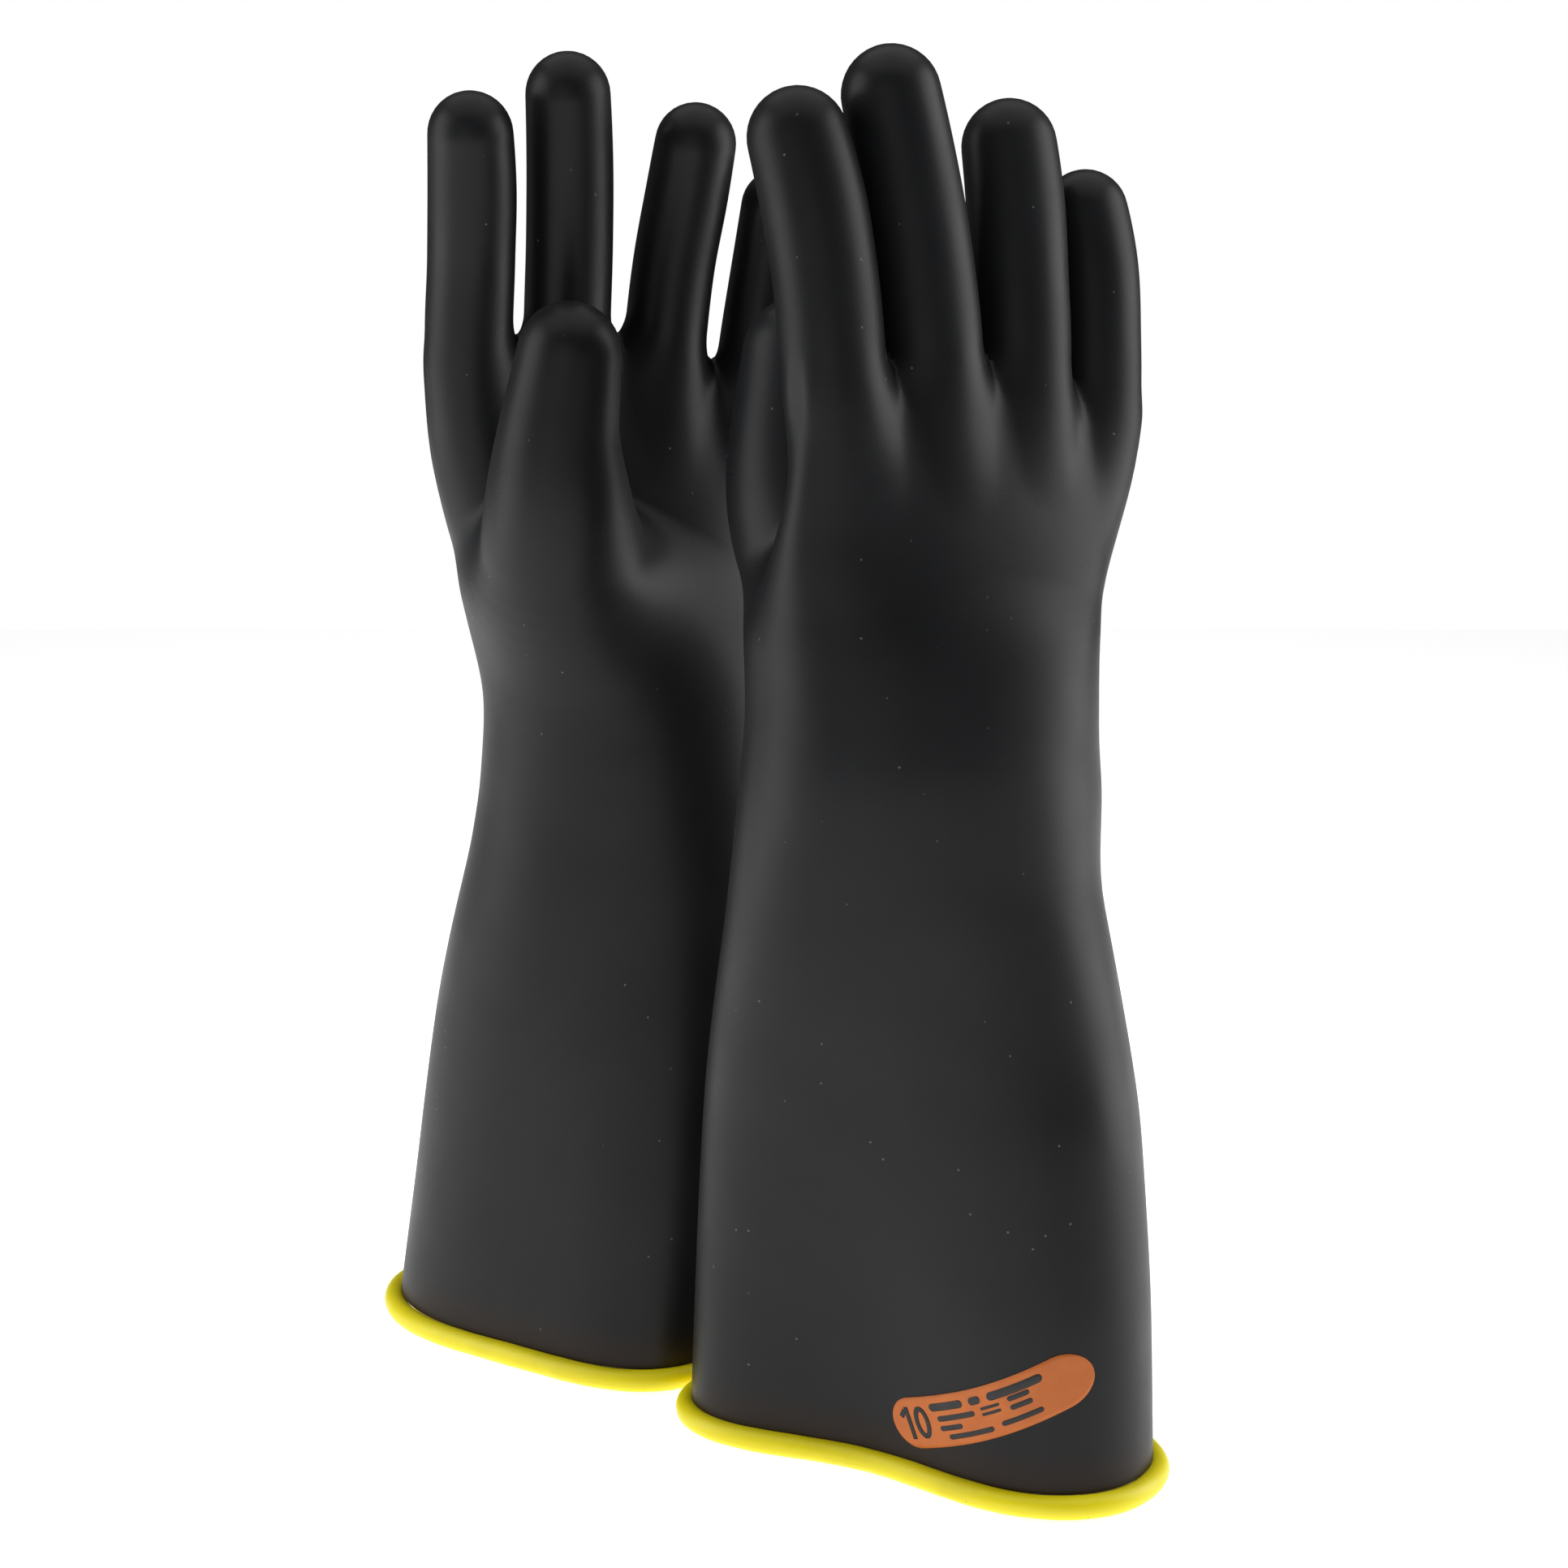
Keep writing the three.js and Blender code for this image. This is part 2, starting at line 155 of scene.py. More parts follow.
GRID = 1.8  # spacing of the samples across, and up the hand
GRID_LINING = 3.0  # the same for the yellow ply, which hardly shows
GRID_GAUNTLET = 6.0  # spacing up the gauntlet
HAND_FLOOR = 222.0  # the fine spacing starts here
ABOVE_SEAMS = 9.0  # the samples end this far above the highest seam
DIGIT_AROUND = 56  # corners round a digit
DIGIT_STEP = 2.4  # distance between its rings
SEAM_ROUNDS = 8  # settles a digit's first ring both on the skin and in the seam's plane


def smoothstep(x, low, high):
    t = np.clip((x - low) / (high - low), 0, 1)
    return t * t * (3 - 2 * t)


def smooth_union(a, b, width):
    overlap = np.maximum(width - np.abs(a - b), 0) / width
    return np.minimum(a, b) - overlap * overlap * width / 4


# ---- the skin as a distance field ----


def section_table(glove):
    """Rows of centre x, centre y, half width, half depth and turn, one for each millimetre."""
    rows = np.array(glove["sections"], float)
    rows[-1, 0] = glove["web_top"]
    margin = int(4 * SECTION_SOFTNESS)
    heights = np.arange(-margin, glove["web_top"] + margin + 1)
    table = np.stack([np.interp(heights, rows[:, 0], rows[:, i]) for i in range(1, 6)], 1)
    slope = (rows[1, 1:] - rows[0, 1:]) / (rows[1, 0] - rows[0, 0])
    below = heights < 0
    table[below] = rows[0, 1:] + heights[below, None] * slope
    reach = np.arange(-margin, margin + 1)
    weights = np.exp(-0.5 * (reach / SECTION_SOFTNESS) ** 2)
    weights /= weights.sum()
    smoothed = [np.convolve(column, weights, "same") for column in table.T]
    kept = slice(margin, margin + glove["web_top"] + 1)
    return np.stack(smoothed, 1)[kept]


def hand_to_pair(glove, rows):
    """Turns rows that start with hand coordinates into the pair's coordinates."""
    x, y, turn = glove["hand"]
    turn = math.radians(turn)
    rows = np.array(rows, float)
    across, palmward = rows[:, 0].copy(), rows[:, 1] * glove["palm"]
    rows[:, 0] = x + across * math.cos(turn) - palmward * math.sin(turn)
    rows[:, 1] = y + across * math.sin(turn) + palmward * math.cos(turn)
    return rows


def smooth_chain(rows, pieces=9):
    """A Hermite curve through rows of any width, with tangents from the neighbouring rows."""
    rows = np.array(rows, float)
    length = np.concatenate([[0], np.cumsum(np.linalg.norm(np.diff(rows[:, :3], axis=0), axis=1))])
    slopes = np.gradient(rows, length, axis=0, edge_order=2)
    chain = []
    for i in range(len(rows) - 1):
        span = length[i + 1] - length[i]
        t = np.linspace(0, 1, pieces, endpoint=False)[:, None]
        chain.append(
            rows[i] * (2 * t**3 - 3 * t**2 + 1) + slopes[i] * span * (t**3 - 2 * t**2 + t)
            + rows[i + 1] * (3 * t**2 - 2 * t**3) + slopes[i + 1] * span * (t**3 - t**2)
        )
    return np.concatenate([*chain, rows[-1:]])


def pressed_in(glove, u, z):
    """How far the dent moves the gauntlet's -Y side in."""
    dent = glove["dent"]
    fade = smoothstep(WRIST_HEIGHT - z, 0, WRIST_HEIGHT)
    return dent["depth"] * fade * np.exp(-(((u - dent["at"]) / dent["width"]) ** 2))


def section_at(glove, z):
    """The section's values at heights z."""
    table = glove["table"]
    place = np.clip(z, 0, len(table) - 1.001)
    row = place.astype(int)
    part = (place - row)[..., None]
    values = table[row] * (1 - part) + table[row + 1] * part
    x, y, width, depth, turn = np.moveaxis(values, -1, 0)
    return x, y, width, depth, np.radians(turn)


def section_value(glove, points, z):
    """1 on the trunk's skin, less inside it, and its slopes across the section."""
    x, y, width, depth, turn = section_at(glove, z)
    dx, dy = points[:, 0] - x, points[:, 1] - y
    u = dx * np.cos(turn) + dy * np.sin(turn)
    v = dy * np.cos(turn) - dx * np.sin(turn)
    v = np.where(v < 0, v / (1 - pressed_in(glove, u, z) / depth.clip(20)), v)
    a, b = np.abs(u / width) + 1e-6, np.abs(v / depth) + 1e-6
    value = (a**SECTION_POWER + b**SECTION_POWER) ** (1 / SECTION_POWER)
    scale = value ** (1 - SECTION_POWER)
    slope_u = scale * a ** (SECTION_POWER - 1) / width
    slope_v = scale * b ** (SECTION_POWER - 1) / depth
    return value, slope_u, slope_v


def trunk_distance(glove, points):
    """About the distance to the skin of the gauntlet and palm."""
    hand_x, hand_y, turn = glove["hand"]
    turn = math.radians(turn)
    across = (points[:, 0] - hand_x) * math.cos(turn) + (points[:, 1] - hand_y) * math.sin(turn)
    low_web = smoothstep(across, *LITTLE_WEB_ACROSS) * smoothstep(points[:, 2], *LITTLE_WEB_HEIGHTS)
    z = points[:, 2] + LITTLE_WEB_DROP * low_web
    value, slope_u, slope_v = section_value(glove, points, z)
    above, _, _ = section_value(glove, points, z + 1)
    slope = np.sqrt(slope_u**2 + slope_v**2 + (above - value) ** 2)
    return -smooth_union((1 - value) / slope, glove["web_top"] - z, WEB_ROUND)


def digit_distance(chain, points, reach=30.0):
    """The distance to a chain of round cones. Beyond the reach it only says far."""
    radius = chain[:, 3:4]
    low = (chain[:, :3] - radius).min(0) - reach
    high = (chain[:, :3] + radius).max(0) + reach
    near = np.all((points > low) & (points < high), axis=1)
    found = np.full(len(points), reach)
    close = points[near]
    best = np.full(len(close), reach)
    for start, end in zip(chain[:-1], chain[1:]):
        axis = end[:3] - start[:3]
        length = np.linalg.norm(axis)
        taper = (end[3] - start[3]) / length
        t = (close - start[:3]) @ axis / length**2
        away = np.linalg.norm(close - start[:3] - t[:, None] * axis, axis=1)
        t = np.clip(t + away * taper / (length * math.sqrt(1 - taper**2)), 0, 1)
        away = np.linalg.norm(close - start[:3] - t[:, None] * axis, axis=1)
        np.minimum(best, away - start[3] - t * (end[3] - start[3]), out=best)
    found[near] = best
    return found


def skin_distance(glove, points):
    """About the distance to the glove's outer skin, negative inside."""
    z = points[:, 2]
    fingers = None
    between = DIGIT_FILLET[0] + (DIGIT_FILLET[1] - DIGIT_FILLET[0]) * smoothstep(z, *WEB_HEIGHTS)
    for name in list(DIGITS)[1:]:
        distance = digit_distance(glove["chains"][name], points)
        fingers = distance if fingers is None else smooth_union(fingers, distance, between)
    trunk = trunk_distance(glove, points)
    thumb = digit_distance(glove["chains"]["thumb"], points)
    wide, narrow = THUMB_FILLET
    fillet = wide + (narrow - wide) * smoothstep(z, *THUMB_FREE)
    hand = smooth_union(trunk, fingers, WEB_FILLET)
    return np.minimum(smooth_union(hand, thumb, fillet), hand)


def skin_normals(glove, points, step=0.4):
    """Unit normals, the field's value and its slope, from four samples round each point."""
    corners = np.array([[1, 1, 1], [1, -1, -1], [-1, 1, -1], [-1, -1, 1]], float)
    values = [skin_distance(glove, points + step * corner) for corner in corners]
    slope = sum(value[:, None] * corner for value, corner in zip(values, corners)) / (4 * step)
    length = np.linalg.norm(slope, axis=1, keepdims=True)
    return slope / length, sum(values) / 4, length[:, 0]


def onto_skin(glove, points, depth=0.0, rounds=2):
    """Moves points to a depth below the skin."""
    for _ in range(rounds):
        normals, value, length = skin_normals(glove, points)
        points = points - normals * np.clip((value + depth) / length, -2, 2)[:, None]
    return points


# ---- from the field to a mesh ----


def without_pinches(values, filled=-0.05, rounds=6):
    """Fills samples where two sheets of the surface would share an edge, in a gap under one cell
    wide: squares of samples with both insides on one diagonal."""
    for _ in range(rounds):
        for axis in range(3):
            square = np.moveaxis(values, axis, 0)
            a, b, c, d = square[:, :-1, :-1], square[:, 1:, :-1], square[:, 1:, 1:], square[:, :-1, 1:]
            b[(a < 0) & (c < 0) & (b >= 0) & (d >= 0)] = filled
            a[(b < 0) & (d < 0) & (a >= 0) & (c >= 0)] = filled
    return values


def surface_net(values, axes):
    """Points and four-cornered faces where the sampled field changes sign."""
    inside = values < 0
    cell_shape = tuple(n - 1 for n in values.shape)
    corner_steps = [(i, j, k) for i in (0, 1) for j in (0, 1) for k in (0, 1)]

    def corner_of(array, step):
        return array[tuple(slice(s, s + n) for s, n in zip(step, cell_shape))]

    count = sum(corner_of(inside, step).astype(np.int8) for step in corner_steps)
    cells = np.argwhere((count > 0) & (count < 8))
    number = np.full(cell_shape, -1)
    number[tuple(cells.T)] = np.arange(len(cells))
    corner_values = {s: values[tuple((cells + s).T)] for s in corner_steps}
    corner_points = {
        s: np.stack([axes[a][cells[:, a] + s[a]] for a in range(3)], 1) for s in corner_steps
    }
    total, hits = np.zeros((len(cells), 3)), np.zeros(len(cells))
    for a, b in combinations(corner_steps, 2):
        if sum(p != q for p, q in zip(a, b)) != 1:
            continue
        crossed = (corner_values[a] < 0) != (corner_values[b] < 0)
        gap = np.where(crossed, corner_values[a] - corner_values[b], 1)
        t = np.where(crossed, corner_values[a] / gap, 0)[:, None]
        total += crossed[:, None] * (corner_points[a] * (1 - t) + corner_points[b] * t)
        hits += crossed
    points = total / hits[:, None]
    faces = []
    for axis in range(3):
        p, q = (axis + 1) % 3, (axis + 2) % 3
        lower = inside[tuple(slice(0, n - 1) if a == axis else slice(0, n)
                             for a, n in enumerate(values.shape))]
        upper = inside[tuple(slice(1, n) if a == axis else slice(0, n)
                             for a, n in enumerate(values.shape))]
        edges = np.argwhere(lower != upper)
        fits = np.all([(edges[:, a] >= 1) & (edges[:, a] < values.shape[a] - 1) for a in (p, q)], 0)
        edges = edges[fits]
        ring = []
        for back_p, back_q in ((1, 1), (0, 1), (0, 0), (1, 0)):
            cell = edges.copy()
            cell[:, p] -= back_p
            cell[:, q] -= back_q
            ring.append(number[tuple(cell.T)])
        quads = np.stack(ring, 1)
        flipped = ~lower[tuple(edges.T)]
        quads[flipped] = quads[flipped][:, ::-1]
        faces.append(quads)
    return points, np.concatenate(faces)


def relaxed(glove, points, faces, depth, rounds):
    """Evens out the mesh: each point moves towards its neighbours and back onto the skin."""
    ends = np.concatenate([faces, np.roll(faces, -1, axis=1)]).ravel()
    others = np.concatenate([np.roll(faces, -1, axis=1), faces]).ravel()
    count = np.bincount(ends, minlength=len(points))
    for _ in range(rounds):
        mean = np.stack([np.bincount(ends, points[others, a], len(points)) for a in range(3)], 1)
        mean /= count[:, None]
        points = onto_skin(glove, points * 0.4 + mean * 0.6, depth, 1)
    return points


def hand_surface(glove, depth, spacing):
    """The gauntlet and hand at a depth below the skin, open at the foot and above the seams."""
    low, high = glove["reach"]
    low, high = low - 2 * spacing, high + 2 * spacing
    high[2] = max(seam["seam"][2] for seam in glove["seams"].values()) + ABOVE_SEAMS
    axes = [np.arange(low[a], high[a] + spacing, spacing) for a in (0, 1)]
    gauntlet = np.linspace(-4, HAND_FLOOR, round(HAND_FLOOR / GRID_GAUNTLET) + 1)
    axes.append(np.concatenate([gauntlet, np.arange(HAND_FLOOR + spacing, high[2], spacing)]))
    grid = np.stack(np.meshgrid(*axes, indexing="ij"), -1)
    values = skin_distance(glove, grid.reshape(-1, 3)).reshape(grid.shape[:3]) + depth
    points, faces = surface_net(without_pinches(values), axes)
    points = onto_skin(glove, points, depth)
    return relaxed(glove, points, faces, depth, 4), faces


def cut_at_seams(glove, points, faces):
    """Cuts the surface off along each digit's seam and along the foot."""
    mesh = bmesh.new()
    for point in points:
        mesh.verts.new(point)
    mesh.verts.ensure_lookup_table()
    for face in faces:
        mesh.faces.new([mesh.verts[i] for i in face])
    centres = np.array([face.calc_center_median() for face in mesh.faces])
    up = np.array([0.0, 0.0, 1.0])
    cuts = [(up * FOOT, up, centres[:, 2] < FOOT + 12)]
    for name, seam in glove["seams"].items():
        close = digit_distance(glove["chains"][name], centres) < 3
        along = (centres - seam["seam"]) @ seam["along"]
        cuts.append((seam["seam"], seam["along"], close & (np.abs(along) < 7)))
    mesh.faces.ensure_lookup_table()
    cuts = [
        (place, normal, [mesh.faces[i] for i in np.nonzero(near)[0]]) for place, normal, near in cuts
    ]
    for place, normal, picked in cuts:
        edges = {edge for face in picked for edge in face.edges}
        verts = {vert for face in picked for vert in face.verts}
        bmesh.ops.bisect_plane(
            mesh, geom=[*verts, *edges, *picked], dist=0.02, plane_co=place, plane_no=normal)
    centres = np.array([face.calc_center_median() for face in mesh.faces])
    dropped = centres[:, 2] < FOOT
    distances = {name: digit_distance(glove["chains"][name], centres) for name in DIGITS}
    nearest = np.min(list(distances.values()), axis=0)
    for name, seam in glove["seams"].items():
        beyond = (centres - seam["seam"]) @ seam["along"] > 0
        dropped |= beyond & (distances[name] < 4) & (distances[name] <= nearest)
    mesh.faces.ensure_lookup_table()
    bmesh.ops.delete(mesh, geom=[mesh.faces[i] for i in np.nonzero(dropped)[0]], context="FACES")
    mesh.verts.index_update()
    cut_points = np.array([vert.co for vert in mesh.verts])
    cut_faces = [[vert.index for vert in face.verts] for face in mesh.faces]
    mesh.free()
    return cut_points, cut_faces


def digit_surface(glove, name, depth):
    """A digit from its seam to its round tip: rings round its centre line, at a depth below the skin."""
    seam, chain = glove["seams"][name], glove["chains"][name]
    length = np.concatenate([[0], np.cumsum(np.linalg.norm(np.diff(chain[:, :3], axis=0), axis=1))])
    past = np.nonzero((chain[:, :3] - seam["seam"]) @ seam["along"] > 0)[0][0]
    start = length[past] - (chain[past, :3] - seam["seam"]) @ seam["along"]
    stations = np.linspace(start, length[-1], round((length[-1] - start) / DIGIT_STEP) + 1)
    centres = np.stack([np.interp(stations, length, chain[:, i]) for i in range(4)], 1)
    ahead = np.gradient(centres[:, :3], axis=0)
    ahead[0] = seam["along"]
    ahead /= np.linalg.norm(ahead, axis=1, keepdims=True)
    tip, radius = centres[-1, :3], centres[-1, 3]
    lean = np.linspace(0, np.pi / 2, 11)[1:-1]
    tips = np.column_stack([tip + np.outer(radius * np.sin(lean), ahead[-1]), radius * np.cos(lean)])
    centres = np.concatenate([centres, tips])
    ahead = np.concatenate([ahead, np.tile(ahead[-1], (len(lean), 1))])
    side = np.cross(ahead, np.cross([0.0, 0.0, 1.0], seam["axis"]))
    side /= np.linalg.norm(side, axis=1, keepdims=True)
    front = np.cross(ahead, side)
    angle = np.arange(DIGIT_AROUND) * 2 * np.pi / DIGIT_AROUND
    around = side[:, None] * np.cos(angle)[:, None] + front[:, None] * np.sin(angle)[:, None]
    rings = centres[:, None, :3] + around * (centres[:, None, 3:] - depth * (centres[:, None, 3:] / radius))
    points = np.concatenate([rings.reshape(-1, 3), [tip + ahead[-1] * (radius - depth)]])
    points = onto_skin(glove, points, depth, 3)
    first = points[:DIGIT_AROUND]
    for _ in range(SEAM_ROUNDS):
        first = onto_skin(glove, first, depth, 1)
        first = first - np.outer((first - seam["seam"]) @ seam["along"], seam["along"])
    points[:DIGIT_AROUND] = first
    faces = []
    for r in range(len(centres) - 1):
        for k in range(DIGIT_AROUND):
            a, b = r * DIGIT_AROUND + k, r * DIGIT_AROUND + (k + 1) % DIGIT_AROUND
            faces.append([a, b, b + DIGIT_AROUND, a + DIGIT_AROUND])
    last = (len(centres) - 1) * DIGIT_AROUND
    for k in range(DIGIT_AROUND):
        faces.append([last + k, last + (k + 1) % DIGIT_AROUND, len(points) - 1])
    return points, faces


def foot_height(depth):
    """How low a face of the wall reaches, a depth below the skin, until it meets the bead."""
    across = depth + BEAD_OUTSET
    return BEAD_RADIUS + math.sqrt(max(BEAD_RADIUS**2 - across**2, 0)) + 0.04


def new_object(name, points, faces, material, slot):
    """A mesh object from points in the tables' millimetres. Its rest place is kept for the materials."""
    placed = (np.asarray(points) + shift) * MM
    mesh = bpy.data.meshes.new(name)
    mesh.from_pydata(placed.tolist(), [], faces)
    mesh.update()
    rest = mesh.attributes.new("rest", "FLOAT_VECTOR", "POINT")
    rest.data.foreach_set("vector", placed.astype(np.float32).ravel())
    mesh.shade_smooth()
    mesh.materials.append(material)
    piece = bpy.data.objects.new(name, mesh)
    bpy.context.scene.collection.objects.link(piece)
    return piece


def ply_piece(name, glove, points, faces, depth, thickness, material, slot):
    """A closed piece of one ply: an outer face, an inner face, and rims along the open edges."""
    used = np.unique(np.concatenate([np.asarray(face) for face in faces]))
    points = points[used]
    normals, _, _ = skin_normals(glove, points)
    local = {int(old): new for new, old in enumerate(used)}
    outer = [[local[i] for i in face] for face in faces]
    layers = [points, points - normals * thickness]
    at_foot = np.abs(points[:, 2] - FOOT) < 0.05
    for layer, below in zip(layers, (depth, depth + thickness)):
        layer[at_foot, 2] = foot_height(below)
    count = len(used)
    inner = [[i + count for i in reversed(face)] for face in outer]
    edges = {(a, b) for face in outer for a, b in zip(face, face[1:] + face[:1])}
    rims = [[b, a, a + count, b + count] for a, b in sorted(edges) if (b, a) not in edges]
    piece = new_object(name, np.concatenate(layers), [*outer, *inner, *rims], material, slot)
    mesh = piece.data
    corners = np.zeros(len(mesh.loops), np.int32)
    mesh.loops.foreach_get("vertex_index", corners)
    corner_normals = np.concatenate([normals, -normals])[corners]
    flat = np.array([mesh.polygons[2 * len(outer) + i].normal for i in range(len(rims))])
    corner_normals[len(corners) - 4 * len(rims):] = np.repeat(flat, 4, axis=0)
    mesh.normals_split_custom_set(corner_normals.tolist())
    return piece


def bead_piece(side, glove, material, around=26, steps=240):
    """The rolled bead: a slightly uneven ring, flattened where it stands."""
    angle = np.arange(steps) * 2 * np.pi / steps
    x, y, width, depth, turn = (np.full(steps, value) for value in section_at(glove, np.array(0.0)))
    cos, sin = np.cos(angle), np.sin(angle)
    wide, deep = width + BEAD_OUTSET, depth + BEAD_OUTSET
    radius = (np.abs(cos / wide) ** SECTION_POWER + np.abs(sin / deep) ** SECTION_POWER) \
        ** (-1 / SECTION_POWER)
    u, v = radius * cos, radius * sin
    v = np.where(v < 0, v * (1 - pressed_in(glove, u, np.zeros(steps)) / depth), v)
    path = np.stack([x + u * np.cos(turn) - v * np.sin(turn), y + u * np.sin(turn) + v * np.cos(turn)], 1)
    ahead = np.roll(path, -1, axis=0) - np.roll(path, 1, axis=0)
    ahead /= np.linalg.norm(ahead, axis=1, keepdims=True)
    outward = np.stack([ahead[:, 1], -ahead[:, 0]], 1)
    uneven = 1 + 0.012 * np.sin(5 * angle + 1) + 0.01 * np.sin(13 * angle) + 0.006 * np.sin(29 * angle + 2)
    points = []
    for k in range(around):
        lean = 2 * np.pi * k / around
        out = BEAD_RADIUS * uneven * math.cos(lean)
        height = np.maximum(BEAD_RADIUS * (0.99 + uneven * math.sin(lean)), 0)
        points.append(np.column_stack([path + outward * out[:, None], height]))
    points = np.stack(points, 1).reshape(-1, 3)
    faces = []
    for i in range(steps):
        here, there = i * around, (i + 1) % steps * around
        for k in range(around):
            l = (k + 1) % around
            faces.append([here + k, there + k, there + l, here + l])
    piece = new_object(f"{side}_rolled_bead", points, faces, material, "yellow_rubber")
    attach(piece, f"{side}_gauntlet")
    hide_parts(f"{side}_cuff_bead")
    return piece


# ---- the label ----

LABEL = {"length": 71, "height": 17, "slope": 25, "bow": 3.4, "thickness": 0.35}
PRINT_HEIGHT = 0.05
# The print's bars: start and end along the label, middle height, and how tall.
BARS = [
    (-19, -5.5, 4.6, 2.6), (-3, 1.5, 4.6, 2.6), (4, 23, 4.6, 2.8), (-17, -2, 0.7, 1.8), (0.5, 7.5, 1.5, 1.0),
    (0.5, 7.5, -0.4, 1.0), (10.5, 18, 2.0, 1.7), (10.5, 18, -0.9, 1.7), (-17, -8, -2.5, 1.7),
    (-14.5, 3, -5.5, 1.7), (6, 20, -4.9, 1.7),
]


def on_back(glove, along, up, lift):
    """Points of the label's plane laid on the back of the gauntlet."""
    slope = math.radians(LABEL["slope"])
    across, middle = glove["label"]
    u = across + glove["palm"] * (along * math.cos(slope) - up * math.sin(slope))
    z = middle + along * math.sin(slope) + up * math.cos(slope)
    z = z + LABEL["bow"] * (2 * along / LABEL["length"]) ** 2
    x, y, width, depth, turn = section_at(glove, z)
    v = -glove["palm"] * depth * (1 - np.abs(u / width) ** SECTION_POWER) ** (1 / SECTION_POWER)
    v = np.where(v < 0, v * (1 - pressed_in(glove, u, z) / depth), v)
    points = np.stack(
        [x + u * np.cos(turn) - v * np.sin(turn), y + u * np.sin(turn) + v * np.cos(turn), z], 1)
    normals, _, _ = skin_normals(glove, points)
    return onto_skin(glove, points) + normals * lift


def patch(glove, rows, low, high):
    """A closed slab on the skin. rows is an array of (along, up) with one row of points for each
    station along it."""
    stations, width, _ = rows.shape
    flat = rows.reshape(-1, 2)
    layers = [on_back(glove, flat[:, 0], flat[:, 1], lift) for lift in (high, low)]
    count = len(flat)
    faces = []
    for s in range(stations - 1):
        for w in range(width - 1):
            a = s * width + w
            quad = [a, a + width, a + width + 1, a + 1]
            faces.append(quad)
            faces.append([i + count for i in reversed(quad)])
    rim = [s * width for s in range(stations)]
    rim += [(stations - 1) * width + w for w in range(1, width)]
    rim += [s * width + width - 1 for s in reversed(range(stations - 1))]
    rim += list(range(width - 2, 0, -1))
    for a, b in zip(rim, rim[1:] + rim[:1]):
        faces.append([b, a, a + count, b + count])
    return np.concatenate(layers), faces


def stadium_rows(start, end, middle, height, stations=40, across=8):
    """Rows of points that fill a bar with round ends."""
    centre, half = (start + end) / 2, (end - start) / 2
    along = -half * np.cos(np.pi * (np.arange(stations) + 0.35) / (stations - 0.3))
    past = np.maximum(np.abs(along) - (half - height / 2), 0)
    tall = np.sqrt((height / 2) ** 2 - past**2)
    share = np.linspace(-1, 1, across)
    rows = np.empty((stations, across, 2))
    rows[..., 0] = centre + along[:, None]
    rows[..., 1] = middle + tall[:, None] * share
    return rows


def stroke_rows(path, thickness):
    """Rows that follow a path of (along, up) points with a stroke's thickness."""
    path = np.array(path, float)
    ahead = np.gradient(path, axis=0)
    side = np.stack([-ahead[:, 1], ahead[:, 0]], 1)
    side /= np.linalg.norm(side, axis=1, keepdims=True)
    return path[:, None] + side[:, None] * thickness * np.array([-0.5, 0, 0.5])[None, :, None]


def numeral_strokes():
    """The size numeral 10 as strokes: a flagged upright, and the two halves of a zero."""
    left, tall, thick = -27.6, 5.4, 1.75
    upright = np.stack([np.full(14, left - 1.2), np.linspace(-tall, tall, 14)], 1)
    flag = np.stack([np.linspace(left - 4.0, left - 1.9, 6), np.linspace(tall - 3.2, tall - 1.1, 6)], 1)
    turn = np.linspace(0, np.pi, 26)
    round_x, round_y = 2.15, tall - thick / 2
    zero = [
        np.stack([left + 4.0 + s * round_x * np.sin(turn), round_y * np.cos(turn)], 1) for s in (1, -1)
    ]
    return [stroke_rows(path, thick) for path in (upright, flag)] + \
        [stroke_rows(path, thick) for path in zero]


def joined(parts):
    points, faces, count = [], [], 0
    for part_points, part_faces in parts:
        points.append(part_points)
        faces += [[i + count for i in face] for face in part_faces]
        count += len(part_points)
    return np.concatenate(points), faces


def label_pieces(side, glove, orange, black):
    half = LABEL["length"] / 2
    top = LABEL["thickness"]
    rows = stadium_rows(-half, half, 0, LABEL["height"], stations=90, across=14)
    points, faces = patch(glove, rows, 0.02, top)
    label = new_object(f"{side}_label_patch", points, faces, orange, "label_orange")
    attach(label, f"{side}_gauntlet")
    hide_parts(f"{side}_label")
    shapes = [stadium_rows(a, b, up, tall, stations=18, across=4) for a, b, up, tall in BARS]
    shapes += numeral_strokes()
    print_parts = [patch(glove, rows, top + 0.01, top + PRINT_HEIGHT) for rows in shapes]
    ink = new_object(f"{side}_label_print", *joined(print_parts), black, "label_orange")
    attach(ink, f"{side}_gauntlet")


# ---- materials ----


